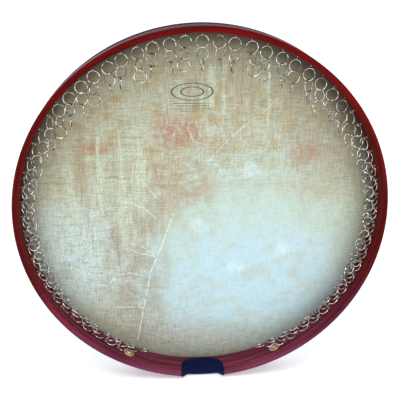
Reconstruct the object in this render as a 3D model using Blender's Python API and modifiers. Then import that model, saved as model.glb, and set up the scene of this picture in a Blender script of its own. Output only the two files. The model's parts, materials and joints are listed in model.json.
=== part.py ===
"""Ring-jingle frame drum: turned hoop, film head, collar band, thumb pad, end screws, ring strands."""
import math
import random

import bpy
import numpy as np
from mathutils import Matrix, Vector

# hoop
HOOP_R = 0.2795
WALL = 0.009
BORE_R = HOOP_R - WALL
AXIS_Z = HOOP_R - WALL / 2
OPEN_Y = -0.0085
HEAD_Y = 0.0375
EDGE = 0.0014
REBATE = 0.0012
REBATE_LEN = 0.018
STEPS = 72

# head, collar and their working gaps
GAP = 0.0002
FILM = 0.0005
BAND = 0.001
BAND_LIP = 0.0045

# thumb notch and its pad
NOTCH_FLAT = 0.023
NOTCH_HALF = 0.036
NOTCH_DEEP = 0.010
PAD_HALF = 0.0365
PAD_TOP = 0.034
PAD_THICK = 0.0017
PAD_OUTSIDE = 0.012

# end screws
SCREW_DEG = 153.6
SCREW_R = 0.0095
SHANK_R = 0.002
SHANK_LEN = 0.0065

# rings
RING_R = 0.0086
WIRE_R = 0.0007
RING_STEP = 0.0170
FIRST = 0.00925
ANCHOR_R = BORE_R - 0.0045
ANCHOR_Y = 0.0135
PITCH_DEG = 4.97
SIDE_COLUMNS = 30
PAIRED = 10
HANG_DEG = 72.0
FAN_DEG = 51.0
LEAN_IN_DEG = 18.0
TOUCH = 0.0163
CLEAR = 0.0032

Y = Vector((0, 1, 0))
rnd = random.Random(23)


def material(name, colour, rough, metal=0.0):
    mat = bpy.data.materials.new(name)
    mat.use_nodes = True
    bsdf = mat.node_tree.nodes["Principled BSDF"]
    bsdf.inputs["Base Color"].default_value = (*colour, 1)
    bsdf.inputs["Roughness"].default_value = rough
    bsdf.inputs["Metallic"].default_value = metal
    return mat


def new_object(name, verts, edges, faces, home, mat=None):
    mesh = bpy.data.meshes.new(name)
    mesh.from_pydata(verts, edges, faces)
    obj = bpy.data.objects.new(name, mesh)
    home.objects.link(obj)
    if mat:
        mesh.materials.append(mat)
    if home is tools:
        obj.hide_render = True
        obj.display_type = "WIRE"
    return obj


def turned(name, profile, home, mat=None, closed=True):
    """Profile of (radius, y) points turned about the drum axis."""
    verts = [(r, 0, y) for r, y in profile]
    count = len(verts)
    edges = [(i, i + 1) for i in range(count - 1)]
    if closed:
        edges.append((count - 1, 0))
    obj = new_object(name, verts, edges, [], home, mat)
    obj.rotation_euler = (math.radians(-90), 0, 0)
    obj.location = (0, 0, AXIS_Z)
    mod = obj.modifiers.new("turn", "SCREW")
    mod.axis = "Z"
    mod.angle = 2 * math.pi
    mod.steps = STEPS
    mod.render_steps = STEPS
    mod.use_merge_vertices = True
    mod.merge_threshold = 0.00001
    mod.use_normal_calculate = True
    return obj


def boolean(obj, tool, kind):
    mod = obj.modifiers.new(kind.lower() + "_" + tool.name, "BOOLEAN")
    mod.operation = kind
    mod.solver = "EXACT"
    mod.object = tool


def prism(name, outline, z0, z1):
    """Outline of (x, y) points, counter-clockwise, run straight up from z0 to z1."""
    count = len(outline)
    verts = [(x, y, z0) for x, y in outline] + [(x, y, z1) for x, y in outline]
    faces = [list(range(count))[::-1], list(range(count, 2 * count))]
    for i in range(count):
        j = (i + 1) % count
        faces.append([i, j, count + j, count + i])
    return new_object(name, verts, [], faces, tools)


def notch_y(x, offset=0.0):
    """Depth of the notched edge at x, as a y position."""
    t = (NOTCH_HALF - abs(x)) / (NOTCH_HALF - NOTCH_FLAT)
    t = min(1.0, max(0.0, t))
    return OPEN_Y + NOTCH_DEEP * t * t * (3 - 2 * t) + offset


def notch_curve(half, offset):
    xs = [0.003 * i for i in range(-30, 31) if abs(0.003 * i) < half - 0.0001]
    return [(x, notch_y(x, offset)) for x in [-half] + xs + [half]]


# ------------------------------------------------------------------ fixed pieces

def make_shell():
    rim = HOOP_R - REBATE
    c = EDGE
    profile = [
        (HOOP_R - c, OPEN_Y), (HOOP_R - c * 0.3, OPEN_Y + c * 0.3), (HOOP_R, OPEN_Y + c),
        (HOOP_R, HEAD_Y - REBATE_LEN), (rim, HEAD_Y - REBATE_LEN), (rim, HEAD_Y - c),
        (rim - c, HEAD_Y), (BORE_R + 0.003, HEAD_Y), (BORE_R, HEAD_Y - 0.003),
        (BORE_R, OPEN_Y + c), (BORE_R + c * 0.3, OPEN_Y + c * 0.3), (BORE_R + c, OPEN_Y)]
    obj = turned("shell", profile, pieces, material("shell_red", (0.36, 0.018, 0.03), 0.35))
    low = [(-NOTCH_HALF, OPEN_Y - 0.02), (NOTCH_HALF, OPEN_Y - 0.02)]
    cut = prism("notch_cut", low + notch_curve(NOTCH_HALF, 0)[::-1], -0.03, 0.03)
    boolean(obj, cut, "DIFFERENCE")
    for side, name in ((-1, "left"), (1, "right")):
        hole = shank("hole_" + name, side, SHANK_R + 0.0003, SHANK_LEN + 0.0007, tools)
        boolean(obj, hole, "DIFFERENCE")


def seat(side, height):
    """Frame on the inner wall at an end screw: local Z points to the drum axis."""
    a = math.radians(side * SCREW_DEG)
    out = Vector((math.sin(a), 0, math.cos(a)))
    at = Vector((0, ANCHOR_Y, AXIS_Z)) + out * (BORE_R - height)
    z = -out
    x = Y.cross(z)
    rot = Matrix((x, Y, z)).transposed().to_4x4()
    return Matrix.Translation(at) @ rot


def shank(name, side, radius, depth, home):
    count = 12
    pts = [(radius * math.cos(2 * math.pi * i / count), radius * math.sin(2 * math.pi * i / count))
           for i in range(count)]
    verts = [(x, y, -depth) for x, y in pts] + [(x, y, 0.004) for x, y in pts]
    faces = [list(range(count))[::-1], list(range(count, 2 * count))]
    faces += [[i, (i + 1) % count, count + (i + 1) % count, count + i] for i in range(count)]
    obj = new_object(name, verts, [], faces, home)
    obj.matrix_world = seat(side, 0)
    return obj


def make_head():
    rim = HOOP_R - REBATE
    y0 = HEAD_Y + GAP
    profile = [(0, y0 + FILM), (rim, y0 + FILM), (rim, y0), (0, y0)]
    obj = turned("drumhead", profile, pieces, material("head_film", (0.62, 0.58, 0.44), 0.55), False)
    obj.modifiers["turn"].use_normal_flip = True


def make_collar():
    inner = HOOP_R - REBATE + GAP
    face = HEAD_Y + 2 * GAP + FILM
    outer = inner + BAND
    profile = [
        (inner, HEAD_Y - REBATE_LEN + 0.0004), (outer, HEAD_Y - REBATE_LEN + 0.0004),
        (outer, face), (outer - 0.0006, face + 0.0007), (outer - BAND_LIP, face + 0.0007),
        (outer - BAND_LIP, face), (inner, face)]
    turned("collar_band", profile[::-1], pieces, material("collar_navy", (0.02, 0.025, 0.07), 0.4))


def make_pad():
    obj = turned("thumb_pad", [
        (BORE_R - GAP - PAD_THICK, OPEN_Y - 0.01), (BORE_R - GAP - PAD_THICK, HEAD_Y),
        (HOOP_R + GAP + PAD_THICK, HEAD_Y), (HOOP_R + GAP + PAD_THICK, OPEN_Y - 0.01)],
        pieces, material("pad_navy", (0.02, 0.03, 0.08), 0.8))
    arch = []
    for i in range(13):
        a = math.pi * i / 12
        x = PAD_HALF * math.copysign(abs(math.cos(a)) ** 0.72, math.cos(a))
        arch.append((x, 0.004 + (PAD_TOP - 0.004) * math.sin(a) ** 0.72))
    edge = notch_curve(PAD_HALF, -GAP - PAD_THICK)
    boolean(obj, prism("pad_outline", edge + arch, -0.04, 0.04), "INTERSECT")
    core = turned("pad_core", [
        (BORE_R - GAP, OPEN_Y - 0.02), (BORE_R - GAP, HEAD_Y + 0.01),
        (HOOP_R + GAP, HEAD_Y + 0.01), (HOOP_R + GAP, OPEN_Y - 0.02)], tools)
    wall = prism("pad_wall", notch_curve(0.06, -GAP) + [(0.06, 0.08), (-0.06, 0.08)], -0.04, 0.04)
    boolean(core, wall, "INTERSECT")
    core.hide_render = True
    core.display_type = "WIRE"
    boolean(obj, core, "DIFFERENCE")
    under = [(-0.05, PAD_OUTSIDE), (0.05, PAD_OUTSIDE), (0.05, 0.06), (-0.05, 0.06)]
    boolean(obj, prism("pad_trim", under, -0.04, -0.0005), "DIFFERENCE")


def make_screw(side, name):
    obj = shank("end_screw_" + name, side, SHANK_R, SHANK_LEN, pieces)
    obj.data.materials.append(material("brass_" + name, (0.72, 0.5, 0.2), 0.3, 1.0))
    lift = 0.0005
    profile = [(0, lift), (SCREW_R - 0.0008, lift), (SCREW_R, lift + 0.0006),
               (SCREW_R - 0.0007, lift + 0.0014), (0.0048, lift + 0.0019),
               (0.0042, lift + 0.0030), (0.0022, lift + 0.0035), (0, lift + 0.0035)]
    head = new_object("head_" + name, [(r, 0, z) for r, z in profile],
                      [(i, i + 1) for i in range(len(profile) - 1)], [], tools)
    head.matrix_world = seat(side, 0)
    mod = head.modifiers.new("turn", "SCREW")
    mod.axis = "Z"
    mod.steps = 18
    mod.render_steps = 18
    mod.use_merge_vertices = True
    mod.merge_threshold = 0.00001
    mod.use_normal_calculate = True
    boolean(obj, head, "UNION")
    a = 0.0026
    b = 0.0005
    cross = [(a, -b), (a, b), (b, b), (b, a), (-b, a), (-b, b), (-a, b), (-a, -b),
             (-b, -b), (-b, -a), (b, -a), (b, -b)]
    slot = prism("recess_" + name, cross, lift + 0.0022, lift + 0.006)
    slot.matrix_world = seat(side, 0)
    boolean(obj, slot, "DIFFERENCE")


# ------------------------------------------------------------------ ring strands

def column(index, deg):
    """Anchor and hanging direction of one strand."""
    a = math.radians(deg)
    sign = math.copysign(1, deg)
    out = Vector((math.sin(a), 0, math.cos(a)))
    anchor = Vector((0, ANCHOR_Y, AXIS_Z)) + out * ANCHOR_R
    down = Vector((0, 0, -1))
    if abs(deg) > HANG_DEG:
        tangent = Vector((math.cos(a), 0, -math.sin(a))) * sign
        lean = math.radians(LEAN_IN_DEG)
        down = tangent * math.cos(lean) - out * math.sin(lean)
    return {"index": index, "deg": deg, "anchor": anchor, "dir": down, "turn": [None] * 3}


def ring_frame(col, row):
    d = col["dir"]
    n = d.cross(Y)
    t = math.radians(col["turn"][row])
    u = n * math.cos(t) + Y * math.sin(t)
    centre = col["anchor"] + d * (FIRST + row * RING_STEP)
    return centre, d, u


def ring_points(col, row):
    """Points along the eight-sided centre line of a ring."""
    centre, d, u = ring_frame(col, row)
    corners = [centre + d * (RING_R * math.cos(i * math.pi / 4)) + u * (RING_R * math.sin(i * math.pi / 4))
               for i in range(9)]
    pts = [corners[i].lerp(corners[i + 1], j / 6) for i in range(8) for j in range(6)]
    return np.array(pts)


def wall_room(pts):
    radial = np.hypot(pts[:, 0], pts[:, 2] - AXIS_Z)
    return BORE_R - 0.0002 - radial.max(), HEAD_Y - pts[:, 1].max()


def lean_pair(upper, lower):
    """Lean two neighbours until one ring of each crosses the other."""
    drop = upper["anchor"].z - lower["anchor"].z
    row = 2 - round(drop / RING_STEP)
    a = upper["anchor"] + upper["dir"] * (FIRST + 2 * RING_STEP)
    b = lower["anchor"] + lower["dir"] * (FIRST + row * RING_STEP)
    gap = abs(a.x - b.x)
    want = math.sqrt(max(TOUCH ** 2 - (a.z - b.z) ** 2, 0))
    if gap > want:
        side = math.copysign(1, b.x - a.x)
        shift = (gap - want) / 2
        upper["dir"] = Vector((side * shift / (FIRST + 2 * RING_STEP), 0, -1)).normalized()
        lower["dir"] = Vector((-side * shift / (FIRST + row * RING_STEP), 0, -1)).normalized()
    upper["turn"][2] = 4.0
    lower["turn"][row] = -5.0


def wanted_turn(col, row):
    if abs(col["deg"]) > FAN_DEG:
        swing = max(7.5, 25 - 1.2 * (abs(col["deg"]) - FAN_DEG))
        return 90 + swing * (1, -1, 1)[row] + rnd.uniform(-1, 1)
    if row == 0:
        return rnd.uniform(-12, 12)
    if row == 1:
        return rnd.choice((-1, 1)) * rnd.uniform(38, 80)
    return rnd.choice((-12, 85, 100, 78))


def turn_apart(a, b):
    gap = abs(a - b) % 180
    return min(gap, 180 - gap)


def settle(col, placed):
    """Turn each ring about its strand until it clears its neighbours and the wall."""
    if abs(col["deg"]) > FAN_DEG:
        col["turn"] = [wanted_turn(col, row) for row in range(3)]
        return
    for row in range(3):
        want = wanted_turn(col, row)
        if col["turn"][row] is not None:
            continue
        best = None
        for k in range(46):
            turn = want + (k // 2 + k % 2) * (4 if k % 2 else -4)
            near = [col["turn"][r] for r in (row - 1, row + 1) if 0 <= r <= 2]
            apart = min([turn_apart(turn, t) for t in near if t is not None] or [90])
            col["turn"][row] = turn
            pts = ring_points(col, row)
            wall, film = wall_room(pts)
            room = min(wall - 0.0011, film - 0.0015)
            for other in placed:
                diff = pts[:, None, :] - other[None, :, :]
                room = min(room, math.sqrt((diff ** 2).sum(-1).min()) - CLEAR)
            score = (min(room, 0.0), min(apart - 28, 0))
            if best is None or score > best[0]:
                best = (score, turn)
            if score == (0.0, 0):
                break
        col["turn"][row] = best[1]


def make_ring(name, col, row):
    centre, d, u = ring_frame(col, row)
    bpy.ops.mesh.primitive_torus_add(major_segments=8, minor_segments=3,
                                     major_radius=RING_R, minor_radius=WIRE_R)
    obj = bpy.context.object
    obj.name = name
    rot = Matrix((d, u, d.cross(u))).transposed().to_4x4()
    obj.data.transform(Matrix.Translation(centre) @ rot)
    for home in list(obj.users_collection):
        home.objects.unlink(obj)
    tools.objects.link(obj)
    return obj


def make_strand(name, columns):
    """One strand, or two caught together: linked rings fused where their wires meet."""
    rings = [make_ring("%s_ring" % name, c, row) for c in columns for row in range(3)]
    base = rings[0]
    bpy.context.view_layer.objects.active = base
    for other in rings[1:3] + rings[:2:-1]:
        boolean(base, other, "UNION")
        bpy.ops.object.modifier_apply(modifier=base.modifiers[0].name)
        bpy.data.objects.remove(other)
    base.name = name
    base.data.name = name
    base.data.materials.append(material(name + "_steel", (0.62, 0.62, 0.64), 0.22, 1.0))
    tools.objects.unlink(base)
    pieces.objects.link(base)


def make_strands():
    groups = [("rings_centre", [column(0, 0.0)])]
    for sign, side in ((-1, "left"), (1, "right")):
        cols = [column(i, sign * i * PITCH_DEG) for i in range(1, SIDE_COLUMNS + 1)]
        for i in range(0, PAIRED, 2):
            lean_pair(cols[i], cols[i + 1])
            groups.append(("rings_%s_%02d_%02d" % (side, i + 1, i + 2), [cols[i], cols[i + 1]]))
        groups += [("rings_%s_%02d" % (side, c["index"]), [c]) for c in cols[PAIRED:]]
    fixed = {}
    for name, cols in groups:
        fixed[name] = [ring_points(c, r) for c in cols for r in range(3) if c["turn"][r] is not None]
    done = {}
    for name, cols in groups:
        for col in cols:
            placed = [p for n, rings in {**fixed, **done}.items() if n != name for p in rings
                      if np.abs(p.mean(0) - np.array(col["anchor"])).max() < 0.075]
            settle(col, placed)
        done[name] = [ring_points(c, r) for c in cols for r in range(3)]
        make_strand(name, cols)


for item in list(bpy.data.objects):
    bpy.data.objects.remove(item, do_unlink=True)
pieces = bpy.data.collections.new("frame_drum")
tools = bpy.data.collections.new("cutters")
bpy.context.scene.collection.children.link(pieces)
bpy.context.scene.collection.children.link(tools)

make_shell()
make_head()
make_collar()
make_pad()
make_screw(-1, "left")
make_screw(1, "right")
make_strands()
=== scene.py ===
import json
import math
import random

import bpy
import numpy as np
from mathutils import Matrix, Vector


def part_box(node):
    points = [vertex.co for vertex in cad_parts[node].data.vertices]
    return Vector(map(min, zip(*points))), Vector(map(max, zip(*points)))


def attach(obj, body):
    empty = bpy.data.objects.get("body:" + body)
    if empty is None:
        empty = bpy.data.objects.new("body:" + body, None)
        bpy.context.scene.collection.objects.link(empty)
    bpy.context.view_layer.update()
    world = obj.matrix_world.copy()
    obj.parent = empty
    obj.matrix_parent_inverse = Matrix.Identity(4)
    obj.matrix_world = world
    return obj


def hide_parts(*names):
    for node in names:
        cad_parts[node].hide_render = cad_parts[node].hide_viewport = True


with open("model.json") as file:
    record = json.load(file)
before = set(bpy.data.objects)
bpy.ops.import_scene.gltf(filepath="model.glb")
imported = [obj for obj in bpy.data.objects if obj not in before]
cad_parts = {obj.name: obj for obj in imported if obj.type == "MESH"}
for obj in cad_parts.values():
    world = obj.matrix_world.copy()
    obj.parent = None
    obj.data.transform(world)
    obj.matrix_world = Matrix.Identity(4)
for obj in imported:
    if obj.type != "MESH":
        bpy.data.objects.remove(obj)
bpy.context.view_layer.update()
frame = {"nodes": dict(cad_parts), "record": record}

# ---------------------------------------------------------------- places, from the frame

shell_low, shell_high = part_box("shell")
film_low, film_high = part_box("drumhead")
collar_low, collar_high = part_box("collar_band")
pad_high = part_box("thumb_pad")[1]
OPEN_Y = shell_low[1]
HEAD_Y = shell_high[1]
MID_Y = (OPEN_Y + HEAD_Y) / 2
HOOP_R = (shell_high[0] - shell_low[0]) / 2
AXIS_Z = (shell_high[2] + shell_low[2]) / 2
DRUM_AXIS = Vector((0, 0, AXIS_Z))
Y = Vector((0, 1, 0))

joints = {j["child"]: j for j in frame["record"]["behaviour"]["joints"]}
JOINT_AT = {name: Vector(j["pos_m"]) for name, j in joints.items()}
JOINT_AXIS = {name: Vector(j["axis"]).normalized() for name, j in joints.items()}
ANCHOR_Y = JOINT_AT["rings_centre"].y

# ---------------------------------------------------------------- sizes, in metres and degrees

# hoop
WALL = 0.009
BORE_R = HOOP_R - WALL
EDGE_EASE = 0.0024  # rounding of the open edge
REBATE = 0.0012  # step outside, for the collar
REBATE_LEN = 0.018
NOTCH_FLAT = 0.023
NOTCH_HALF = 0.036
NOTCH_DEEP = 0.010
NOTCH_REACH = 0.004  # depth of the open edge that follows the notch
TURN_SEGMENTS = 480

# collar
COLLAR_LIP = 0.0047  # how far its face reaches in over the head
COLLAR_EASE = 0.0006
COLLAR_GAP = 0.0002

# head grid
HEAD_RINGS = 40
HEAD_AROUND = 144

# thumb pad
PAD_HALF = pad_high[0] - 0.0018
PAD_TOP = 0.0345
PAD_FOOT = 0.004
PAD_ROUND = 2.35  # exponent of its half-oval outline
PAD_OUTSIDE = 0.012
PAD_THICK = 0.0018
PAD_RIM = 0.0004  # thickness at its border
PAD_SWELL = 0.0026  # border width over which it thickens
PAD_SIDE = 1.2  # how fast it thickens from its two ends, against its long borders
PAD_UNDER = 0.00015  # lift of its underside off the hoop
PAD_COLS = 64
PAD_ROWS = 120
PAD_TRIM = 0.998
SEAM_IN = 0.0042  # seam groove: distance from the border, width, depth
SEAM_WIDE = 0.0006
SEAM_DEEP = 0.00035
SEAM_POINTS = 180
STITCH_INSET = 0.0040
STITCH_PITCH = 0.003
STITCH_LEN = 0.0022
THREAD_R = 0.00022

# end screws
SCREW_DEG = 153.6
SCREW_R = 0.0095
SCREW_LIFT = 0.0005
SCREW_LIP = 0.0007
DOME_R = 0.0044
DOME_HIGH = 0.0019
CROSS_ARM = 0.0026
CROSS_HALF = 0.00042

# rings: each strand is three rings below its eye
ROWS = 3
RING_R = 0.0087
WIRE_R = 0.0007
LINK = 0.0161  # spacing of the rings drawn here
CAD_STEP = 0.0170  # spacing of the rings in the CAD solid
FIRST = 0.00925  # eye to the centre of the top ring
ANCHOR_R = BORE_R - 0.0045
PITCH_DEG = 4.97  # strand to strand round the hoop
TOUCH = 0.0163  # centre distance of two rings caught together
BUTT_DEG = 1.2  # open seam of a ring
EYE_R = 0.0021
EYE_WIRE = 0.00045
EYE_BITE = 0.00005
EYE_DEPTH = 0.0012
EYE_SHANK = 1.3

# ring turns about their strand, 0 being flat to the head
FAN_DEG = 51.0  # beyond this the strands lie on each other like tiles
TILE_DEG = 46.0
TILE_SPAN = (95.0, 122.0)  # angles from the top over which TILE_DEG goes over to LOW_DEG
LOW_DEG = (64.0, 96.0, 101.0)  # by row
TILE_SHARE = 0.9  # how much of the CAD ring's own turn is kept
FACE_ON = (-10, -7, -4, -1, 3, 4, 8)  # columns whose rings face the open side
FACED_TURN = (6.0, 58.0, 8.0)
HANG_TURN = (6.0, 33.0, 84.0)
UNEVEN_DEG = 5.0
RING_SEED = 5

# reading a CAD ring's turn: wire radius, its tolerance, reach along the strand, cap on a miss
READ_R = 0.0086
READ_TOLERANCE = 0.0009
READ_REACH = 0.0072
READ_CAP = 0.0016

# search for a turn that clears the wall and the neighbours
WALL_GAP = 0.0002
RING_GAP = 0.0015
ROOM_SCALE = 0.001
SWING_TESTS = (0.0, -25.0, -50.0)
SETTLE_STEP = 2.0
SETTLE_TRIES = 40
NEAR_RINGS = 8

# ---------------------------------------------------------------- print of the head

# soft patches: centre (x, z), half sizes, broken up by clouds or not, amount, colour
PATCHES = (
    ((0.21, 0.43), (0.13, 0.16), False, 0.60, (0.33, 0.29, 0.21)),
    ((-0.22, 0.40), (0.12, 0.12), False, 0.55, (0.40, 0.35, 0.22)),
    ((0.06, 0.31), (0.15, 0.10), True, 0.50, (0.52, 0.70, 0.64)),
    ((-0.20, 0.195), (0.11, 0.12), True, 0.90, (0.60, 0.74, 0.74)),
    ((0.075, 0.225), (0.20, 0.10), True, 0.60, (0.53, 0.71, 0.69)),
    ((0.075, 0.135), (0.235, 0.145), True, 0.95, (0.51, 0.72, 0.80)),
    ((-0.015, 0.045), (0.17, 0.045), False, 0.60, (0.43, 0.45, 0.42)),
)
# brown stains: centre, half sizes, cloud level they fade at, amount, colour
STAINS = (
    ((-0.105, 0.17), (0.065, 0.19), 0.40, 0.75, (0.36, 0.32, 0.26)),
    ((-0.04, 0.31), (0.085, 0.06), 0.42, 0.70, (0.43, 0.33, 0.23)),
)
# red blotches: centre, half sizes, amount
BLOTCHES = (
    ((-0.036, 0.396), (0.052, 0.034), 0.95),
    ((-0.158, 0.375), (0.042, 0.013), 0.95),
    ((0.158, 0.362), (0.034, 0.026), 0.60),
    ((0.012, 0.372), (0.030, 0.020), 0.40),
)
PALE_SPOTS = ((0.075, 0.335), (-0.005, 0.245), (0.055, 0.170), (0.13, 0.20))
PALE_SIZE = (0.020, 0.017)
# creases: points (x, z), half width, strength
FOLDS = (
    (((-0.042, 0.269), (-0.063, 0.209), (-0.080, 0.169), (-0.093, 0.105), (-0.105, 0.043)),
     0.0013, 0.85),
    (((-0.151, 0.105), (-0.119, 0.105), (-0.095, 0.102)), 0.0011, 0.8),
    (((-0.174, 0.147), (-0.152, 0.143), (-0.135, 0.162), (-0.112, 0.167), (-0.091, 0.160)),
     0.0009, 0.75),
    (((-0.112, 0.220), (-0.115, 0.209), (-0.101, 0.201), (-0.073, 0.194), (-0.090, 0.211),
      (-0.110, 0.217)), 0.0009, 0.7),
    (((-0.130, 0.290), (-0.103, 0.284), (-0.086, 0.275), (-0.070, 0.259)), 0.0014, 0.6),
    (((-0.097, 0.326), (-0.085, 0.316), (-0.074, 0.300), (-0.060, 0.288)), 0.0011, 0.5),
    (((0.114, 0.448), (0.098, 0.429), (0.070, 0.409), (0.040, 0.383), (0.006, 0.344)),
     0.0010, 0.5),
    (((-0.020, 0.411), (-0.018, 0.397), (-0.011, 0.383), (0.008, 0.375)), 0.0009, 0.55),
    (((-0.011, 0.418), (-0.003, 0.399), (0.001, 0.389)), 0.0007, 0.35),
    (((0.025, 0.414), (0.036, 0.390), (0.041, 0.378)), 0.0008, 0.4),
    (((0.022, 0.346), (0.033, 0.329), (0.049, 0.323), (0.066, 0.322)), 0.0008, 0.45),
)
# stamp: oval centre (x, z) and half sizes; rules as height, half length, half width, dashed or not
STAMP_AT = (-0.013, 0.4565)
STAMP_SIZE = (0.030, 0.0125)
STAMP_RULES = (
    (0.4395, 0.027, 0.0006, False),
    (0.4355, 0.024, 0.0011, True),
    (0.4315, 0.027, 0.0004, False),
    (0.4280, 0.017, 0.0009, True),
)

# ---------------------------------------------------------------- stage

FLOOR_HALF = 16.0
FLOOR_DROP = 0.0025  # hoop to floor, with room for the pad's outer face
FLOOR_GLOW = 0.36
WORLD_LEVEL = 0.78
# upward direction from, to; strength at each end
WORLD_RAMPS = ((0.06, 0.20, 1.34, 0.2), (0.25, 0.75, 0.0, 1.2))
# name, place, target, size, power, colour
LIGHTS = (
    ("key", (-0.35, -0.9, 2.1), (0, 0, 0.2), (1.2, 0.9), 18, (1, 1, 1)),
    ("fill", (1.3, -1.2, 0.6), (0, 0, 0.25), (1.0, 1.2), 5, (0.93, 0.96, 1.0)),
)
CAMERA_AZIMUTH = 3.85
CAMERA_ELEVATION = 20.87
CAMERA_TARGET = (-0.0032, MID_Y, AXIS_Z + 0.0219)
CAMERA_DISTANCE = 1.0
CAMERA_LENS = 59.77


# ---------------------------------------------------------------- mesh helpers

def piece(name, verts, faces, mat, body, nodes):
    """A smooth mesh piece that rides on a CAD body and stands for the named CAD nodes."""
    mesh = bpy.data.meshes.new(name)
    mesh.from_pydata([tuple(v) for v in verts], [], faces)
    mesh.materials.append(mat)
    mesh.polygons.foreach_set("use_smooth", [True] * len(mesh.polygons))
    mesh.update()
    obj = bpy.data.objects.new(name, mesh)
    bpy.context.scene.collection.objects.link(obj)
    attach(obj, body)
    if nodes:
        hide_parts(*nodes)
    return obj


def grid_faces(rows, cols, wrap_rows=False, wrap_cols=False, start=0, flip=False):
    """Quads of a grid of points numbered row by row."""
    faces = []
    for i in range(rows if wrap_rows else rows - 1):
        for j in range(cols if wrap_cols else cols - 1):
            a = start + i * cols + j
            b = start + i * cols + (j + 1) % cols
            c = start + ((i + 1) % rows) * cols + (j + 1) % cols
            d = start + ((i + 1) % rows) * cols + j
            faces.append((a, d, c, b) if flip else (a, b, c, d))
    return faces


def arc(cx, cy, radius, a0, a1, count):
    """Points of an arc from a0 to a1 degrees."""
    steps = [math.radians(a0 + (a1 - a0) * i / count) for i in range(count + 1)]
    return [(cx + radius * math.cos(a), cy + radius * math.sin(a)) for a in steps]


def tube(verts, faces, centres, frames, radius, sides, closed):
    """Adds a round wire through centres; frames gives two cross directions for each."""
    start = len(verts)
    for c, (p, q) in zip(centres, frames):
        for k in range(sides):
            a = 2 * math.pi * k / sides
            verts.append(c + p * (radius * math.cos(a)) + q * (radius * math.sin(a)))
    rows = len(centres)
    faces += grid_faces(rows, sides, closed, True, start, flip=True)
    if not closed:
        faces.append(tuple(start + k for k in range(sides)))
        last = start + (rows - 1) * sides
        faces.append(tuple(last + k for k in reversed(range(sides))))


def wire_ring(verts, faces, centre, d, u, radius, wire, seam=0.0, count=44, sides=10, at=0.0):
    """A wire ring in the plane of d and u, with a butt seam when seam is over 0 degrees."""
    w = d.cross(u)
    closed = seam <= 0
    span = 360 - seam
    rows = count if closed else count + 1
    centres = []
    frames = []
    for i in range(rows):
        a = math.radians(at + seam / 2 + span * i / count)
        out = d * math.cos(a) + u * math.sin(a)
        centres.append(centre + out * radius)
        frames.append((out, w))
    tube(verts, faces, centres, frames, wire, sides, closed)


def turned(name, profile, mat, nodes, notch=False):
    """A closed profile of (radius, y) points swept round the drum axis."""
    verts = []
    for i in range(TURN_SEGMENTS):
        a = 2 * math.pi * i / TURN_SEGMENTS
        for r, y in profile:
            x = r * math.sin(a)
            if notch and y < OPEN_Y + NOTCH_REACH and math.cos(a) < 0:
                y += notch_y(x) - OPEN_Y
            verts.append((x, y, AXIS_Z + r * math.cos(a)))
    faces = grid_faces(TURN_SEGMENTS, len(profile), True, True, flip=True)
    piece(name, verts, faces, mat, "drum", nodes)


def lathe(profile, segments, place):
    """Profile of (radius, height) from axis to axis, turned about the Z of a placing matrix."""
    verts = [place @ Vector((0, 0, profile[0][1]))]
    for r, h in profile[1:-1]:
        for i in range(segments):
            a = 2 * math.pi * i / segments
            verts.append(place @ Vector((r * math.cos(a), r * math.sin(a), h)))
    verts.append(place @ Vector((0, 0, profile[-1][1])))
    rows = len(profile) - 2
    faces = [(0, 1 + (i + 1) % segments, 1 + i) for i in range(segments)]
    faces += grid_faces(rows, segments, False, True, 1)
    last = 1 + (rows - 1) * segments
    top = len(verts) - 1
    faces += [(top, last + i, last + (i + 1) % segments) for i in range(segments)]
    return verts, faces


# ---------------------------------------------------------------- material helpers

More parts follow.
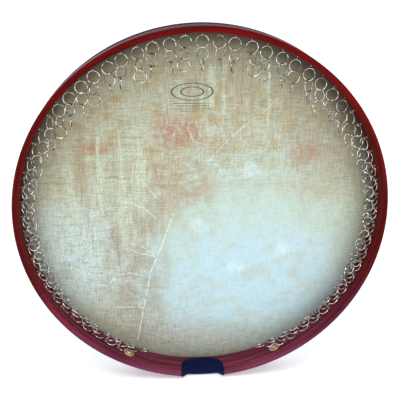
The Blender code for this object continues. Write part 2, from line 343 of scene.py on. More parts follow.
class Nodes:
    """Short calls for building a node tree."""

    MIX_A, MIX_B, MIX_OUT = 6, 7, 2  # colour sockets of the Mix node

    def __init__(self, name):
        self.mat = bpy.data.materials.new(name)
        self.mat.use_nodes = True
        self.tree = self.mat.node_tree
        self.bsdf = self.tree.nodes["Principled BSDF"]
        coords = self.tree.nodes.new("ShaderNodeTexCoord")
        self.at = coords.outputs["Object"]

    def link(self, source, target):
        """Sets a socket to a number or tuple, or links an output to it."""
        if isinstance(source, (int, float)):
            target.default_value = source
        elif isinstance(source, tuple):
            colour = len(source) == 3 and len(target.default_value) == 4
            target.default_value = (*source, 1.0) if colour else source
        else:
            self.tree.links.new(source, target)

    def math(self, kind, a, b=0.0, clamp=False):
        node = self.tree.nodes.new("ShaderNodeMath")
        node.operation = kind
        node.use_clamp = clamp
        for value, socket in zip((a, b), node.inputs):
            self.link(value, socket)
        return node.outputs[0]

    def vector(self, kind, a, b=None):
        node = self.tree.nodes.new("ShaderNodeVectorMath")
        node.operation = kind
        self.link(a, node.inputs[0])
        if kind == "SCALE":
            self.link(b, node.inputs["Scale"])
        elif b is not None:
            self.link(b, node.inputs[1])
        return node.outputs["Value" if kind in ("DOT_PRODUCT", "LENGTH") else "Vector"]

    def split(self, vector):
        node = self.tree.nodes.new("ShaderNodeSeparateXYZ")
        self.link(vector, node.inputs[0])
        return node.outputs

    def join(self, x, y, z):
        node = self.tree.nodes.new("ShaderNodeCombineXYZ")
        for value, socket in zip((x, y, z), node.inputs):
            self.link(value, socket)
        return node.outputs[0]

    def stretch(self, parts, scales):
        """Three coordinates, each scaled on its own."""
        return self.join(*(self.math("MULTIPLY", p, s) for p, s in zip(parts, scales)))

    def noise(self, at, scale, detail=4.0, rough=0.55, warp=0.0):
        node = self.tree.nodes.new("ShaderNodeTexNoise")
        self.link(at, node.inputs["Vector"])
        node.inputs["Scale"].default_value = scale
        node.inputs["Detail"].default_value = detail
        node.inputs["Roughness"].default_value = rough
        node.inputs["Distortion"].default_value = warp
        return node.outputs["Fac"]

    def cells(self, at, scale):
        """Distance to the nearest border between random cells."""
        node = self.tree.nodes.new("ShaderNodeTexVoronoi")
        node.feature = "DISTANCE_TO_EDGE"
        self.link(at, node.inputs["Vector"])
        node.inputs["Scale"].default_value = scale
        return node.outputs["Distance"]

    def span(self, value, low, high, out_low=0.0, out_high=1.0):
        """Smooth step from low to high; falls when low is above high."""
        node = self.tree.nodes.new("ShaderNodeMapRange")
        node.interpolation_type = "SMOOTHSTEP"
        self.link(value, node.inputs["Value"])
        node.inputs["From Min"].default_value = low
        node.inputs["From Max"].default_value = high
        node.inputs["To Min"].default_value = out_low
        node.inputs["To Max"].default_value = out_high
        return node.outputs["Result"]

    def mix(self, fac, a, b):
        node = self.tree.nodes.new("ShaderNodeMix")
        node.data_type = "RGBA"
        self.link(fac, node.inputs["Factor"])
        self.link(a, node.inputs[self.MIX_A])
        self.link(b, node.inputs[self.MIX_B])
        return node.outputs[self.MIX_OUT]

    def tint(self, colour, mask, amount, to):
        """Moves a colour towards another under a mask."""
        return self.mix(self.math("MULTIPLY", mask, amount), colour, to)

    def spot(self, x, z, centre, radii, low=0.0):
        """Soft oval mask, falling from 1 at squared radius low to 0 at the edge."""
        dx = self.math("DIVIDE", self.math("SUBTRACT", x, centre[0]), radii[0])
        dz = self.math("DIVIDE", self.math("SUBTRACT", z, centre[1]), radii[1])
        square = self.math("ADD", self.math("MULTIPLY", dx, dx), self.math("MULTIPLY", dz, dz))
        return self.span(square, low, 1.0, 1.0, 0.0)

    def line(self, value, inner, outer, strength=1.0):
        """Mask of a thin line: strength within inner of zero, nothing beyond outer."""
        return self.span(value, inner, outer, strength, 0.0)

    def bump(self, height, strength, distance, before=None):
        node = self.tree.nodes.new("ShaderNodeBump")
        node.inputs["Strength"].default_value = strength
        node.inputs["Distance"].default_value = distance
        self.link(height, node.inputs["Height"])
        if before:
            self.link(before, node.inputs["Normal"])
        return node.outputs["Normal"]

    def polar(self):
        """Position as (length along the hoop, y, radius), in metres."""
        x, y, z = self.split(self.at)
        up = self.math("SUBTRACT", z, AXIS_Z)
        turn = self.math("ARCTAN2", x, up)
        square = self.math("ADD", self.math("MULTIPLY", x, x), self.math("MULTIPLY", up, up))
        radius = self.math("SQRT", square)
        return self.math("MULTIPLY", turn, HOOP_R), y, radius

    def finish(self, colour, rough, normal, metal=0.0, **constants):
        """Links up the surface; constants are socket names with _ for a space."""
        self.link(colour, self.bsdf.inputs["Base Color"])
        self.link(rough, self.bsdf.inputs["Roughness"])
        self.bsdf.inputs["Metallic"].default_value = metal
        self.link(normal, self.bsdf.inputs["Normal"])
        for name, value in constants.items():
            self.bsdf.inputs[name.replace("_", " ")].default_value = value
        return self.mat


# ---------------------------------------------------------------- materials

def hoop_material():
    """Lacquered red-brown hoop with fine grain running round it, and a painted rosy-mauve sky
    reflection low down.
    """
    n = Nodes("hoop_lacquer")
    around = n.polar()
    stretched = n.stretch(around, (6.0, 160.0, 160.0))
    grain = n.noise(stretched, 1.0, 6.0, 0.6, 0.4)
    broad = n.noise(n.stretch(around, (9.0, 30.0, 30.0)), 1.0, 3.0)
    streak = n.span(grain, 0.36, 0.66)
    colour = n.mix(streak, (0.055, 0.0008, 0.0007), (0.165, 0.0028, 0.0016))
    # painted reflection: low down, most of all on the outer edge, the lacquer is tinted rosy mauve
    # as if it reflected a bluish sky
    painted_sheen_low_mask = n.span(n.split(n.at)[2], 0.22, 0.01)
    painted_sky_sheen = n.mix(streak, (0.100, 0.017, 0.029), (0.225, 0.043, 0.082))
    painted_sky_sheen = n.tint(painted_sky_sheen, n.span(around[2], 0.270, 0.279), 0.8, (0.19, 0.046, 0.14))
    colour = n.tint(colour, painted_sheen_low_mask, 0.9, painted_sky_sheen)
    colour = n.mix(n.span(broad, 0.45, 0.7, 0.0, 0.4), colour, (0.08, 0.002, 0.004))
    pores = n.span(n.noise(stretched, 2.6, 3.0, 0.7), 0.62, 0.72)
    colour = n.tint(colour, pores, 0.55, (0.025, 0.002, 0.004))
    fine = n.noise(n.at, 900.0, 2.0)
    rough = n.span(grain, 0.2, 0.8, 0.30, 0.44)
    normal = n.bump(grain, 0.12, 0.0004, n.bump(fine, 0.05, 0.0002))
    return n.finish(colour, rough, normal,
                    Specular_IOR_Level=0.05, Coat_Weight=0.018, Coat_Roughness=0.12)


def fold_mask(n, x, z, flat):
    """Worn creases and small nicks in the print."""
    wander = n.math("MULTIPLY", n.math("SUBTRACT", n.noise(flat, 60.0, 2.0), 0.5), 0.006)
    shaken = n.join(n.math("ADD", x, wander), 0.0, n.math("ADD", z, wander))
    broken = n.span(n.noise(flat, 120.0, 3.0), 0.36, 0.54)
    folds = None
    for points, width, strength in FOLDS:
        nearest = None
        for (ax, az), (bx, bz) in zip(points, points[1:]):
            step = Vector((bx - ax, 0, bz - az))
            rel = n.vector("SUBTRACT", shaken, (ax, 0.0, az))
            dot = n.vector("DOT_PRODUCT", rel, tuple(step))
            share = n.math("MULTIPLY", dot, 1 / step.length_squared, clamp=True)
            foot = n.vector("SCALE", tuple(step), share)
            gap = n.vector("LENGTH", n.vector("SUBTRACT", rel, foot))
            nearest = gap if nearest is None else n.math("MINIMUM", nearest, gap)
        line = n.math("MULTIPLY", n.line(nearest, width * 0.3, width, strength), broken)
        folds = line if folds is None else n.math("MAXIMUM", folds, line)
    chips = n.span(n.noise(n.join(x, 5.0, z), 170.0, 3.0, 0.6), 0.66, 0.72)
    nicks = n.math("MULTIPLY", chips, n.spot(x, z, (-0.10, 0.255), (0.075, 0.10)))
    return n.math("MAXIMUM", folds, n.math("MULTIPLY", nicks, 0.9))


def stamp_mask(n, x, z):
    """A plain oval stamp over two rules and two rows of dashes."""
    dx = n.math("SUBTRACT", x, STAMP_AT[0])
    ox = n.math("DIVIDE", dx, STAMP_SIZE[0])
    oz = n.math("DIVIDE", n.math("SUBTRACT", z, STAMP_AT[1]), STAMP_SIZE[1])
    square = n.math("ADD", n.math("MULTIPLY", ox, ox), n.math("MULTIPLY", oz, oz))
    oval = n.math("SQRT", square)
    outer = n.line(n.math("ABSOLUTE", n.math("SUBTRACT", oval, 1.0)), 0.035, 0.065)
    inner = n.line(n.math("ABSOLUTE", n.math("SUBTRACT", oval, 0.55)), 0.035, 0.065)
    stamp = n.math("MAXIMUM", outer, inner)
    dashes = n.span(n.math("SINE", n.math("MULTIPLY", x, 1900.0)), -0.5, 0.0)
    for height, half, thick, dashed in STAMP_RULES:
        off = n.math("ABSOLUTE", n.math("SUBTRACT", z, height))
        across = n.line(off, thick * 0.6, thick)
        along = n.line(n.math("ABSOLUTE", dx), half, half + 0.0006)
        rule = n.math("MULTIPLY", across, along)
        stamp = n.math("MAXIMUM", stamp, n.math("MULTIPLY", rule, dashes) if dashed else rule)
    return stamp


def head_material():
    """Skin-print film: cream and olive ground, clouds, weave, folds and stamp, with painted shade
    towards the hoop and a painted shadow under the top of it.
    """
    n = Nodes("head_print")
    x, y, z = n.split(n.at)
    up = n.math("SUBTRACT", z, AXIS_Z)
    flat = n.join(x, 0.0, z)

    def threads(along_x, along_z, shift, detail=3.0):
        at = n.join(n.math("MULTIPLY", x, along_x), shift, n.math("MULTIPLY", z, along_z))
        return n.noise(at, 1.0, detail, 0.6)

    def both(a, b):
        return n.math("MULTIPLY", a, b)

    def spot(centre, radii, low=0.0):
        return n.spot(x, z, centre, radii, low)

    clouds = n.noise(flat, 11.0, 7.0, 0.62, 0.3)
    patches = n.noise(n.join(x, 3.0, z), 34.0, 6.0, 0.65, 0.4)
    mottle = n.noise(n.join(x, 7.0, z), 105.0, 5.0, 0.7, 0.2)
    speck = n.noise(n.join(x, 9.0, z), 430.0, 3.0, 0.75)
    weave_v = threads(640.0, 40.0, 1.0)
    weave_h = threads(40.0, 640.0, 2.0)
    streaks = threads(64.0, 5.0, 4.0)

    # ground, patches and stains
    colour = n.mix(n.span(clouds, 0.34, 0.64), (0.48, 0.48, 0.35), (0.52, 0.59, 0.475))
    # darker and more olive towards the top: partly the film's own tone, partly painted shade from
    # the hoop above
    colour = n.tint(colour, n.span(z, 0.36, 0.53), 0.75, (0.40, 0.375, 0.23))
    soft = n.span(patches, 0.32, 0.60, 0.45, 1.0)
    for centre, radii, clouded, amount, to in PATCHES:
        mask = both(spot(centre, radii), soft) if clouded else spot(centre, radii)
        colour = n.tint(colour, mask, amount, to)
    for centre, radii, fade, amount, to in STAINS:
        brown = both(spot(centre, radii), n.span(patches, 0.66, fade))
        colour = n.tint(colour, brown, amount, to)
    ochre = both(n.span(patches, 0.56, 0.36), n.span(z, 0.27, 0.42))
    colour = n.tint(colour, ochre, 0.7, (0.42, 0.31, 0.13))
    bands = both(n.span(threads(20.0, 130.0, 6.0, 5.0), 0.48, 0.36), n.span(x, 0.10, -0.12))
    bands = both(bands, n.span(z, 0.22, 0.34))
    colour = n.tint(colour, bands, 0.6, (0.36, 0.27, 0.12))
    for centre, radii, amount in BLOTCHES:
        red = both(spot(centre, radii), n.span(mottle, 0.38, 0.60))
        colour = n.tint(colour, red, amount, (0.42, 0.15, 0.10))

    # upright streaks and small pale spots
    columns = n.math("MAXIMUM", spot((0.06, 0.445), (0.11, 0.085), 0.3),
                     spot((-0.13, 0.30), (0.095, 0.16), 0.3))
    colour = n.tint(colour, both(n.span(streaks, 0.53, 0.61), columns), 0.75, (0.58, 0.66, 0.50))
    colour = n.tint(colour, both(n.span(streaks, 0.48, 0.38), columns), 0.5, (0.34, 0.26, 0.14))
    for centre in PALE_SPOTS:
        colour = n.tint(colour, both(spot(centre, PALE_SIZE), soft), 0.5, (0.70, 0.88, 0.93))

    # weave, mottling and specks, fainter in the pale field
    weave = n.math("ADD", weave_v, weave_h)
    field = spot((0.085, 0.185), (0.23, 0.19), 0.15)
    grit = n.math("SUBTRACT", 1.0, n.math("MULTIPLY", field, 0.7))
    for value, low, high, amount, to in (
        (weave, 1.02, 0.80, 0.46, (0.26, 0.22, 0.14)),
        (weave, 1.02, 1.22, 0.30, (0.78, 0.84, 0.72)),
        (mottle, 0.50, 0.32, 0.55, (0.36, 0.27, 0.14)),
        (mottle, 0.56, 0.70, 0.45, (0.62, 0.72, 0.62)),
        (speck, 0.50, 0.34, 0.60, (0.20, 0.15, 0.10)),
    ):
        colour = n.tint(colour, both(n.span(value, low, high), grit), amount, to)

    # painted shade: darker towards the hoop, with a painted shadow darkest under the top of it
    radius = n.math("SQRT", n.math("ADD", both(x, x), both(up, up)))
    edge = n.span(n.math("ADD", radius, n.math("MULTIPLY", clouds, 0.04)), 0.235, 0.298)
    edge = both(edge, n.span(z, 0.05, 0.32, 0.45, 1.0))
    colour = n.tint(colour, edge, 0.5, (0.20, 0.165, 0.09))
    # painted shadow of the top of the hoop falling on the film
    painted_brim_shadow = n.span(n.math("ADD", radius, n.math("MULTIPLY", up, 0.045)), 0.250, 0.281)
    colour = n.tint(colour, painted_brim_shadow, 0.88, (0.045, 0.030, 0.018))

    colour = n.tint(colour, fold_mask(n, x, z, flat), 0.9, (0.80, 0.85, 0.76))
    colour = n.tint(colour, stamp_mask(n, x, z), 0.86, (0.060, 0.075, 0.065))
    normal = n.bump(weave, 0.25, 0.0002)
    rough = n.span(clouds, 0.3, 0.7, 0.50, 0.64)
    return n.finish(colour, rough, normal, Specular_IOR_Level=0.3)


def collar_material():
    """Dark navy trim tape with a fine woven face."""
    n = Nodes("collar_weave")
    along, y, radius = n.polar()
    warp = n.math("SINE", n.math("MULTIPLY", along, 2600.0))
    weft = n.math("SINE", n.math("MULTIPLY", n.math("ADD", y, radius), 2600.0))
    weave = n.math("MULTIPLY", warp, weft)
    worn = n.noise(n.at, 60.0, 4.0)
    colour = n.mix(n.span(weave, -1.0, 1.0), (0.022, 0.025, 0.060), (0.040, 0.044, 0.096))
    colour = n.mix(n.span(worn, 0.5, 0.8, 0.0, 0.4), colour, (0.040, 0.043, 0.075))
    rough = n.span(worn, 0.3, 0.7, 0.8, 0.95)
    return n.finish(colour, rough, n.bump(weave, 0.35, 0.0002), Specular_IOR_Level=0.0)


def pad_material():
    """Soft navy grip pad with a leather-like grain."""
    n = Nodes("pad_grain")
    cells = n.cells(n.at, 900.0)
    broad = n.noise(n.at, 120.0, 4.0)
    grain = n.span(cells, 0.0, 0.25)
    colour = n.mix(grain, (0.002, 0.004, 0.022), (0.0045, 0.009, 0.055))
    colour = n.mix(n.span(broad, 0.5, 0.75, 0.0, 0.5), colour, (0.008, 0.014, 0.065))
    height = n.math("ADD", grain, n.math("MULTIPLY", broad, 0.6))
    rough = n.span(broad, 0.3, 0.7, 0.6, 0.75)
    return n.finish(colour, rough, n.bump(height, 0.35, 0.0003), Specular_IOR_Level=0.06)


def thread_material():
    """Navy sewing thread."""
    n = Nodes("pad_thread")
    twist = n.noise(n.at, 2400.0, 2.0)
    colour = n.mix(n.span(twist, 0.35, 0.65), (0.012, 0.018, 0.06), (0.04, 0.055, 0.14))
    return n.finish(colour, 0.7, n.bump(twist, 0.4, 0.0001))


def metal_material(name, dark, light, rough_range, size=45.0, steep=0.175):
    """Metal with faint scuffs and patches of two tones: uneven polish, and painted glints and dark
    reflections where the tones lie far apart; steep is half the step between its tones.
    """
    n = Nodes(name)
    scuff = n.noise(n.at, 260.0, 5.0, 0.7)
    # two-tone patches: uneven polish, and on the ring steel painted glints and dark reflections
    patch = n.noise(n.at, size, 3.0)
    colour = n.mix(n.span(patch, 0.5 - steep, 0.5 + steep), dark, light)
    rough = n.span(scuff, 0.3, 0.75, *rough_range)
    return n.finish(colour, rough, n.bump(scuff, 0.06, 0.0002), 1.0)


HOOP_MAT = hoop_material()
HEAD_MAT = head_material()
COLLAR_MAT = collar_material()
PAD_MAT = pad_material()
THREAD_MAT = thread_material()
# painted glints and dark reflections: the rings' patches run from near black to near white
RING_GLINT_STEEL_MAT = metal_material("ring_steel_painted_glints", (0.13, 0.12, 0.13), (0.94, 0.90, 0.83), (0.06, 0.18),
                           size=150.0, steep=0.12)
EYE_MAT = metal_material("eye_steel", (0.45, 0.44, 0.43), (0.70, 0.69, 0.67), (0.22, 0.38))
BRASS_MAT = metal_material("brass", (0.60, 0.43, 0.22), (0.86, 0.68, 0.42), (0.30, 0.48))


# ---------------------------------------------------------------- hoop, head and collar

def notch_y(x):
    """Depth of the notched edge at x, as a y position."""
    t = (NOTCH_HALF - abs(x)) / (NOTCH_HALF - NOTCH_FLAT)
    t = min(1.0, max(0.0, t))
    return OPEN_Y + NOTCH_DEEP * t * t * (3 - 2 * t)


def make_hoop():
    """The hoop: rounded open edge with its notch, and a rebate outside at the head's edge."""
    rim = HOOP_R - REBATE
    rear = HEAD_Y - REBATE_LEN
    chamfer = 0.001
    inside = 0.003
    profile = arc(BORE_R + EDGE_EASE, OPEN_Y + EDGE_EASE, EDGE_EASE, 180, 270, 8)
    profile += arc(HOOP_R - EDGE_EASE, OPEN_Y + EDGE_EASE, EDGE_EASE, 270, 360, 8)
    profile += [(HOOP_R, rear - 0.0006), (HOOP_R - 0.0004, rear), (rim, rear)]
    profile += [(rim, HEAD_Y - chamfer), (rim - chamfer, HEAD_Y), (BORE_R + 0.0022, HEAD_Y)]
    profile += arc(BORE_R + inside, HEAD_Y - inside, inside, 105, 180, 5)
    turned("hoop", profile, HOOP_MAT, ["shell"], notch=True)


def make_head():
    """The film: a flat disc with both faces gridded."""
    verts = []
    faces = []
    for y in (film_low[1], film_high[1]):
        for i in range(1, HEAD_RINGS + 1):
            r = film_high[0] * i / HEAD_RINGS
            for j in range(HEAD_AROUND):
                a = 2 * math.pi * j / HEAD_AROUND
                verts.append((r * math.sin(a), y, AXIS_Z + r * math.cos(a)))
    count = HEAD_RINGS * HEAD_AROUND
    for side, y in ((0, film_low[1]), (1, film_high[1])):
        centre = len(verts)
        verts.append((0, y, AXIS_Z))
        start = side * count
        faces += grid_faces(HEAD_RINGS, HEAD_AROUND, False, True, start, flip=side == 1)
        for j in range(HEAD_AROUND):
            a, b = start + j, start + (j + 1) % HEAD_AROUND
            faces.append((centre, b, a) if side == 0 else (centre, a, b))
    low = (HEAD_RINGS - 1) * HEAD_AROUND
    for j in range(HEAD_AROUND):
        k = (j + 1) % HEAD_AROUND
        faces.append((low + j, low + k, count + low + k, count + low + j))
    piece("head_film", verts, faces, HEAD_MAT, "drum", ["drumhead"])


def make_collar():
    """The trim band in the rebate, turned in over the edge of the head."""
    inner = HOOP_R - REBATE + COLLAR_GAP
    outer = collar_high[0]
    front = collar_low[1]
    back = collar_high[1]
    film = film_high[1] + COLLAR_GAP
    ease = COLLAR_EASE
    lip = outer - COLLAR_LIP
    profile = arc(inner + ease * 0.7, front + ease * 0.7, ease * 0.7, 180, 270, 3)
    profile += arc(outer - ease * 0.5, front + ease * 0.5, ease * 0.5, 270, 360, 3)
    profile += arc(outer - ease, back - ease, ease, 0, 90, 5)
    profile += [(outer - 0.0044, back), (lip, back - 0.0003), (lip, film), (inner, film)]
    turned("collar", profile, COLLAR_MAT, ["collar_band"])


# ---------------------------------------------------------------- thumb pad

def pad_top(x):
    """How far the pad reaches up the inner wall at x."""
    c = min(1.0, abs(x) / PAD_HALF) ** PAD_ROUND
    return PAD_FOOT + (PAD_TOP - PAD_FOOT) * max(0.0, 1 - c) ** (1 / PAD_ROUND)


def pad_path(x, t):
    """Radius, y, their outward direction and distance to the pad's border, on the hoop's surface.

    t runs from 0 at the pad's top on the inner wall to 1 at its end on the outer wall.
    """
    edge = notch_y(x)
    ease = EDGE_EASE
    inside = pad_top(x) - edge - ease
    bend = math.pi * ease / 2
    across = WALL - 2 * ease
    outside = PAD_OUTSIDE - edge - ease
    total = inside + 2 * bend + across + outside
    s = t * total
    border = min(s, total - s)
    if s < inside:
        return BORE_R, pad_top(x) - s, -1.0, 0.0, border
    s -= inside
    if s < bend:
        c, k = math.cos(s / ease), math.sin(s / ease)
        return BORE_R + ease * (1 - c), edge + ease * (1 - k), -c, -k, border
    s -= bend
    if s < across:
        return BORE_R + ease + s, edge, 0.0, -1.0, border
    s -= across
    if s < bend:
        c, k = math.cos(s / ease), math.sin(s / ease)
        return HOOP_R - ease * (1 - k), edge + ease * (1 - c), k, -c, border
    s -= bend
    return HOOP_R, edge + ease + s, 1.0, 0.0, border


def pad_point(x, t, lift=None):
    """Point on the pad's padded face, or at a given lift off the hoop."""
    r, y, nr, ny, border = pad_path(x, t)
    border = min(border, (PAD_HALF - abs(x)) * PAD_SIDE)
    if lift is None:
        swell = min(1.0, border / PAD_SWELL)
        lift = PAD_RIM + (PAD_THICK - PAD_RIM) * math.sqrt(1 - (1 - swell) ** 2)
        lift -= SEAM_DEEP * math.exp(-((border - SEAM_IN) / SEAM_WIDE) ** 2)
    r += nr * lift
    y += ny * lift
    return Vector((x, y, AXIS_Z - math.sqrt(r * r - x * x)))


def make_pad():
    """The pad: a padded face and an underside, joined round the rim."""
    verts = []
    for lift in (None, PAD_UNDER):
        for i in range(PAD_ROWS + 1):
            for j in range(PAD_COLS + 1):
                side = -math.cos(math.pi * j / PAD_COLS)
                verts.append(pad_point(PAD_HALF * PAD_TRIM * side, i / PAD_ROWS, lift))
    wide = PAD_COLS + 1
    count = (PAD_ROWS + 1) * wide
    faces = grid_faces(PAD_ROWS + 1, wide, flip=True)
    faces += grid_faces(PAD_ROWS + 1, wide, start=count)
    rim = list(range(wide))
    rim += [i * wide + PAD_COLS for i in range(1, PAD_ROWS + 1)]
    rim += [PAD_ROWS * wide + j for j in range(PAD_COLS - 1, -1, -1)]
    rim += [i * wide for i in range(PAD_ROWS - 1, 0, -1)]
    for a, b in zip(rim, rim[1:] + rim[:1]):
        faces.append((a, b, count + b, count + a))
    pad = piece("grip_pad", verts, faces, PAD_MAT, "drum", ["thumb_pad"])


def seam_line():
    """Points of the seam round the half-oval on the inner wall."""
    points = []
    for i in range(SEAM_POINTS + 1):
        x = (PAD_HALF - STITCH_INSET) * math.cos(math.pi * i / SEAM_POINTS)
        wrap = pad_top(x) - notch_y(x) + WALL + PAD_OUTSIDE - notch_y(x)
        points.append(pad_point(x, SEAM_IN / wrap))
    return points


def make_stitches():
    """A row of short stitches along the seam."""
    verts = []
    faces = []
    seam = seam_line()
    length = [0.0]
    for p, q in zip(seam, seam[1:]):
        length.append(length[-1] + (q - p).length)
    for k in range(int(length[-1] / STITCH_PITCH)):
        pts = []
        for m in range(5):
            s = k * STITCH_PITCH + STITCH_LEN * m / 4
            i = max(j for j in range(len(length)) if length[j] <= s)
            i = min(i, len(seam) - 2)
            p = seam[i].lerp(seam[i + 1], (s - length[i]) / (length[i + 1] - length[i]))
            inward = (DRUM_AXIS - Vector((p.x, 0, p.z))).normalized()
            pts.append(p + inward * (THREAD_R * math.sin(math.pi * m / 4)))
        frames = []
        for m in range(5):
            along = (pts[min(m + 1, 4)] - pts[max(m - 1, 0)]).normalized()
            side = along.cross(Vector((0, 0, 1))).normalized()
            frames.append((along.cross(side), side))
        tube(verts, faces, pts, frames, THREAD_R, 6, False)
    piece("pad_stitching", verts, faces, THREAD_MAT, "drum", ())


# ---------------------------------------------------------------- end screws

def seat(side):
    """Frame on the inner wall at an end screw: local Z points to the drum axis."""
    a = math.radians(side * SCREW_DEG)
    out = Vector((math.sin(a), 0, math.cos(a)))
    at = Vector((0, ANCHOR_Y, AXIS_Z)) + out * BORE_R
    z = -out
    rot = Matrix((Y.cross(z), Y, z)).transposed().to_4x4()
    return Matrix.Translation(at) @ rot


def cut_cross(screw, place):
    """Cuts a cross recess into the top of a screw head and leaves its faces flat-shaded."""
    arm, half = CROSS_ARM, CROSS_HALF
    cross = [(arm, -half), (arm, half), (half, half), (half, arm), (-half, arm), (-half, half),
             (-arm, half), (-arm, -half), (-half, -half), (-half, -arm), (half, -arm),
             (half, -half)]
    count = len(cross)
    ends = (SCREW_LIFT + 0.0022, SCREW_LIFT + 0.006)
    points = [tuple(place @ Vector((x, y, z))) for z in ends for x, y in cross]
    faces = [tuple(reversed(range(count))), tuple(range(count, 2 * count))]
    faces += [(i, (i + 1) % count, count + (i + 1) % count, count + i) for i in range(count)]
    mesh = bpy.data.meshes.new("recess")
    mesh.from_pydata(points, [], faces)
    cutter = bpy.data.objects.new("recess", mesh)
    bpy.context.scene.collection.objects.link(cutter)
    mod = screw.modifiers.new("recess", "BOOLEAN")
    mod.solver = "EXACT"
    mod.object = cutter
    cut = screw.evaluated_get(bpy.context.evaluated_depsgraph_get())
    baked = bpy.data.meshes.new_from_object(cut)
    screw.modifiers.clear()
    screw.data = baked
    bpy.data.objects.remove(cutter)
    for poly in baked.polygons:
        poly.use_smooth = False


def make_end_screw(side, name):
    """A dished cup washer on the wall and a domed cross-head screw in it."""
    place = seat(side)
    lift = SCREW_LIFT
    lip = SCREW_LIP
    dome = [(0, lift + 0.0014), (DOME_R, lift + 0.0014)]
    for deg in (0, 12, 24, 36, 48, 60, 72, 82):
        a = math.radians(deg)
        dome.append((DOME_R * math.cos(a), lift + 0.0016 + DOME_HIGH * math.sin(a)))
    dome.append((0, lift + 0.0035))
    verts, faces = lathe(dome, 48, place)
    screw = piece(f"end_screw_{name}_head", verts, faces, BRASS_MAT, "drum", ())
    cut_cross(screw, place)
    cup = [(0, lift), (SCREW_R - 0.0009, lift)]
    cup += [(SCREW_R - lip + p, lift + lip + q) for p, q in arc(0, 0, lip, -80, 60, 6)]
    cup += [(SCREW_R - 0.0013, lift + 0.0016), (0.0074, lift + 0.00175), (0.0071, lift + 0.0015)]
    cup += [(0.0055, lift + 0.0016), (0.0049, lift + 0.0013), (0, lift + 0.0013)]
    verts, faces = lathe(cup, 64, place)
    nodes = ["end_screw_" + name]
    piece(f"end_screw_{name}_cup", verts, faces, BRASS_MAT, "drum", nodes)


# ---------------------------------------------------------------- ring strands

def column(deg, hang):
    """Anchor of a strand at an angle from the top, and the way it hangs."""
    a = math.radians(deg)
    out = Vector((math.sin(a), 0, math.cos(a)))
    anchor = Vector((0, ANCHOR_Y, AXIS_Z)) + out * ANCHOR_R
    return {"deg": deg, "out": out, "anchor": anchor, "dir": hang}


def lean_pair(upper, lower):
    """Two strands caught together lean towards each other, as their CAD node does."""
    drop = upper["anchor"].z - lower["anchor"].z
    row = 2 - round(drop / CAD_STEP)
    reach_a = FIRST + 2 * CAD_STEP
    reach_b = FIRST + row * CAD_STEP
    a = upper["anchor"] + upper["dir"] * reach_a
    b = lower["anchor"] + lower["dir"] * reach_b
    gap = abs(a.x - b.x)
    want = math.sqrt(max(TOUCH ** 2 - (a.z - b.z) ** 2, 0))
    if gap > want:
        side = math.copysign(1, b.x - a.x)
        shift = (gap - want) / 2
        upper["dir"] = Vector((side * shift / reach_a, 0, -1)).normalized()
        lower["dir"] = Vector((-side * shift / reach_b, 0, -1)).normalized()


def strand_columns(node):
    """The columns of one strand node, from its name and its joint's place and axis."""
    words = node.split("_")
    if words[1] == "centre":
        return [column(0.0, Vector((0, 0, -1)))]
    sign = -1 if words[1] == "left" else 1
    if len(words) == 4:
        pair = [column(sign * int(w) * PITCH_DEG, Vector((0, 0, -1))) for w in words[2:]]
        lean_pair(*pair)
        return pair
    where = JOINT_AT[node]
    deg = math.degrees(math.atan2(where.x, where.z - AXIS_Z))
    return [column(deg, Y.cross(JOINT_AXIS[node]))]


def cad_turn(points, col, row):
    """Turn of a CAD ring about its strand: the plane that most of its wire lies in."""
    d = np.array(col["dir"])
    n = np.array(col["dir"].cross(Y))
    centre = np.array(col["anchor"]) + d * (FIRST + row * CAD_STEP)
    rel = points - centre
    along = rel @ d
    side = np.stack([rel @ n, rel[:, 1]], 1)
    length = np.linalg.norm(rel, axis=1)
    keep = (abs(length - READ_R) < READ_TOLERANCE) & (abs(along) < READ_REACH)
    best = (1e9, 0.0)
    for deg in range(-90, 90):
        t = math.radians(deg)
        off = abs(side[keep] @ np.array([-math.sin(t), math.cos(t)]))
        score = np.minimum(off, READ_CAP).sum()
        if score < best[0]:
            best = (score, float(deg))
    return best[1]


def tile_turn(deg, row, own):
    """Turn of a ring at the sides, where strands lie on each other; own is its CAD turn."""
    share = (abs(deg) - TILE_SPAN[0]) / (TILE_SPAN[1] - TILE_SPAN[0])
    share = min(1.0, max(0.0, share))
    side = math.copysign(1, -deg)
    mean = (TILE_DEG + (LOW_DEG[row] - TILE_DEG) * share) * side
    return mean + side * (own % 180 - 90) * TILE_SHARE


def hang_turn(deg, row):
    """Turn of a ring in the upper part: each is turned further on its link than the last."""
    side = 1 if chance.random() < 0.5 else -1
    turns = FACED_TURN if round(deg / PITCH_DEG) in FACE_ON else HANG_TURN
    return turns[row] * side


def ring_path(centre, d, u):
    """Points round a ring's wire."""
    a = np.linspace(0, 2 * np.pi, 72, endpoint=False)
    out = np.outer(np.cos(a), d) * RING_R
    return np.array(centre) + out + np.outer(np.sin(a), u) * RING_R


def wall_room(points, node):
    """Least room to the inner wall, at rest and as the strand swings to the open side."""
    at = np.array(JOINT_AT[node])
    axis = np.array(JOINT_AXIS[node])
    rel = points - at
    along = np.outer(rel @ axis, axis)
    rooms = []
    for deg in SWING_TESTS:
        c, s = math.cos(math.radians(deg)), math.sin(math.radians(deg))
        moved = at + rel * c + np.cross(axis, rel) * s + along * (1 - c)
        reach = np.hypot(moved[:, 0], moved[:, 2] - AXIS_Z).max()
        rooms.append(BORE_R - WIRE_R - reach)
    return min(rooms)


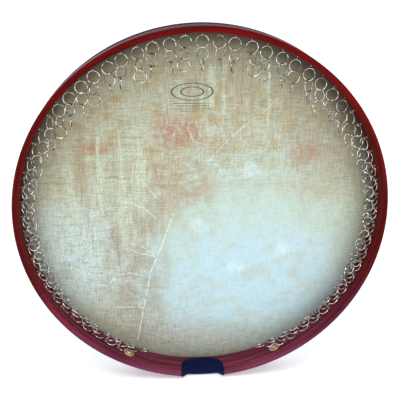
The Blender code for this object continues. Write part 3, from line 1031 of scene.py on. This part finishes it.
def settle(node, centre, d, n, want, around):
    """The turn nearest to the wanted one that clears the wall and the strands already hung."""
    best = (-1.0, want, None)
    for k in range(SETTLE_TRIES):
        turn = want + (k // 2 + k % 2) * SETTLE_STEP * (1 if k % 2 else -1)
        t = math.radians(turn)
        path = ring_path(centre, d, n * math.cos(t) + Y * math.sin(t))
        score = min(1.0, (wall_room(path, node) - WALL_GAP) / ROOM_SCALE + 1)
        if around and score > best[0]:
            near = min(np.linalg.norm(path[:, None] - o[None], axis=2).min() for o in around)
            score = min(score, near / RING_GAP)
        if score > best[0] + 1e-6:
            best = (score, turn, path)
        if score >= 1.0:
            break
    return best[1], best[2]


def seam_at(deg, row):
    """Where round a ring its seam sits, different from ring to ring."""
    return 70 + 67 * row + 13 * (int(abs(deg) * 7) % 11)


def make_strand(node):
    """The rings of one strand node, each settled clear of the wall and of nearby rings."""
    side = node.split("_")[1]
    around = [path for name, path in hung[-NEAR_RINGS:] if name.split("_")[1] == side]
    mesh = frame["nodes"][node].data
    points = np.empty(len(mesh.vertices) * 3)
    mesh.vertices.foreach_get("co", points)
    points = points.reshape(-1, 3)
    verts = []
    faces = []
    for col in strand_columns(node):
        deg = col["deg"]
        d = col["dir"]
        n = d.cross(Y)
        for row in range(ROWS):
            if abs(deg) > FAN_DEG:
                turn = tile_turn(deg, row, cad_turn(points, col, row))
            else:
                turn = hang_turn(deg, row)
            turn += chance.uniform(-UNEVEN_DEG, UNEVEN_DEG)
            centre = col["anchor"] + d * (FIRST + row * LINK)
            turn, path = settle(node, centre, d, n, turn, around)
            hung.append((node, path))
            t = math.radians(turn)
            u = n * math.cos(t) + Y * math.sin(t)
            wire_ring(verts, faces, centre, d, u, RING_R, WIRE_R, BUTT_DEG, at=seam_at(deg, row))
            if row == 0:
                top_rings.append((col, u))
    piece(node.replace("rings", "strand"), verts, faces, RING_GLINT_STEEL_MAT, node, [node])


def make_eyes():
    """A small screw eye on the wall for each strand, round the top ring's wire."""
    verts = []
    faces = []
    for col, u in top_rings:
        out = col["out"]
        wire = col["anchor"] + col["dir"] * (FIRST - RING_R)
        side = u.cross(out).normalized()
        centre = wire + out * (EYE_R - EYE_WIRE - WIRE_R + EYE_BITE)
        wire_ring(verts, faces, centre, out, side, EYE_R, EYE_WIRE, count=20, sides=6)
        foot = centre + out * (EYE_R * 0.98)
        end = Vector((0, foot.y, AXIS_Z)) + out * (BORE_R + EYE_DEPTH)
        frames = [(out.cross(side), side)] * 3
        tube(verts, faces, [foot, foot.lerp(end, 0.5), end], frames, EYE_WIRE * EYE_SHANK, 8,
             False)
    piece("screw_eyes", verts, faces, EYE_MAT, "drum", ())


# ---------------------------------------------------------------- assembly

chance = random.Random(RING_SEED)
hung = []  # (strand node, wire path) of every ring so far
top_rings = []  # (column, direction across) of every top ring

make_hoop()
make_head()
make_collar()
make_pad()
make_stitches()
make_end_screw(-1, "left")
make_end_screw(1, "right")
for node_name in sorted(joints):
    make_strand(node_name)
make_eyes()


# ---------------------------------------------------------------- floor, light and camera

def make_floor():
    """A plain pale floor just under the drum."""
    mesh = bpy.data.meshes.new("floor")
    z = shell_low[2] - FLOOR_DROP
    corners = ((-1, -1), (1, -1), (1, 1), (-1, 1))
    mesh.from_pydata([(FLOOR_HALF * x, FLOOR_HALF * y, z) for x, y in corners], [], [(0, 1, 2, 3)])
    mat = bpy.data.materials.new("floor_white")
    mat.use_nodes = True
    bsdf = mat.node_tree.nodes["Principled BSDF"]
    bsdf.inputs["Base Color"].default_value = (0.93, 0.93, 0.93, 1)
    bsdf.inputs["Roughness"].default_value = 0.9
    bsdf.inputs["Emission Color"].default_value = (1, 1, 1, 1)
    bsdf.inputs["Emission Strength"].default_value = FLOOR_GLOW
    mesh.materials.append(mat)
    obj = bpy.data.objects.new("floor", mesh)
    bpy.context.scene.collection.objects.link(obj)


def make_world():
    """A soft studio: bright at the horizon and overhead, dimmer between."""
    world = bpy.data.worlds.new("studio")
    world.use_nodes = True
    tree = world.node_tree
    coords = tree.nodes.new("ShaderNodeTexCoord")
    parts = tree.nodes.new("ShaderNodeSeparateXYZ")
    tree.links.new(coords.outputs["Generated"], parts.inputs[0])
    total = tree.nodes.new("ShaderNodeMath")
    for i, (low, high, at_low, at_high) in enumerate(WORLD_RAMPS):
        ramp = tree.nodes.new("ShaderNodeMapRange")
        ramp.interpolation_type = "SMOOTHSTEP"
        ramp.inputs["From Min"].default_value = low
        ramp.inputs["From Max"].default_value = high
        ramp.inputs["To Min"].default_value = WORLD_LEVEL * at_low
        ramp.inputs["To Max"].default_value = WORLD_LEVEL * at_high
        tree.links.new(parts.outputs["Z"], ramp.inputs["Value"])
        tree.links.new(ramp.outputs["Result"], total.inputs[i])
    back = tree.nodes["Background"]
    back.inputs["Color"].default_value = (0.93, 0.97, 1, 1)
    tree.links.new(total.outputs[0], back.inputs["Strength"])
    bpy.context.scene.world = world
    bpy.context.scene.view_settings.view_transform = "Standard"


def area_light(name, place, target, size, power, colour):
    """A rectangular light aimed at a point."""
    data = bpy.data.lights.new(name, "AREA")
    data.shape = "RECTANGLE"
    data.size = size[0]
    data.size_y = size[1]
    data.energy = power
    data.color = colour
    obj = bpy.data.objects.new(name, data)
    bpy.context.scene.collection.objects.link(obj)
    obj.location = place
    aim = Vector(target) - Vector(place)
    obj.rotation_euler = aim.to_track_quat("-Z", "Y").to_euler()


def make_camera():
    """The camera at the photo's angle, looking into the open side from a little above."""
    azimuth = math.radians(CAMERA_AZIMUTH)
    elevation = math.radians(CAMERA_ELEVATION)
    away = Vector((-math.sin(azimuth) * math.cos(elevation),
                   -math.cos(azimuth) * math.cos(elevation),
                   math.sin(elevation)))
    data = bpy.data.cameras.new("camera")
    data.sensor_width = 36
    data.lens = CAMERA_LENS
    data.clip_start = 0.01
    obj = bpy.data.objects.new("camera", data)
    bpy.context.scene.collection.objects.link(obj)
    obj.location = Vector(CAMERA_TARGET) + away * CAMERA_DISTANCE
    obj.rotation_euler = (-away).to_track_quat("-Z", "Y").to_euler()
    bpy.context.scene.camera = obj


make_floor()
make_world()
for light in LIGHTS:
    area_light(*light)
make_camera()

bpy.context.view_layer.update()
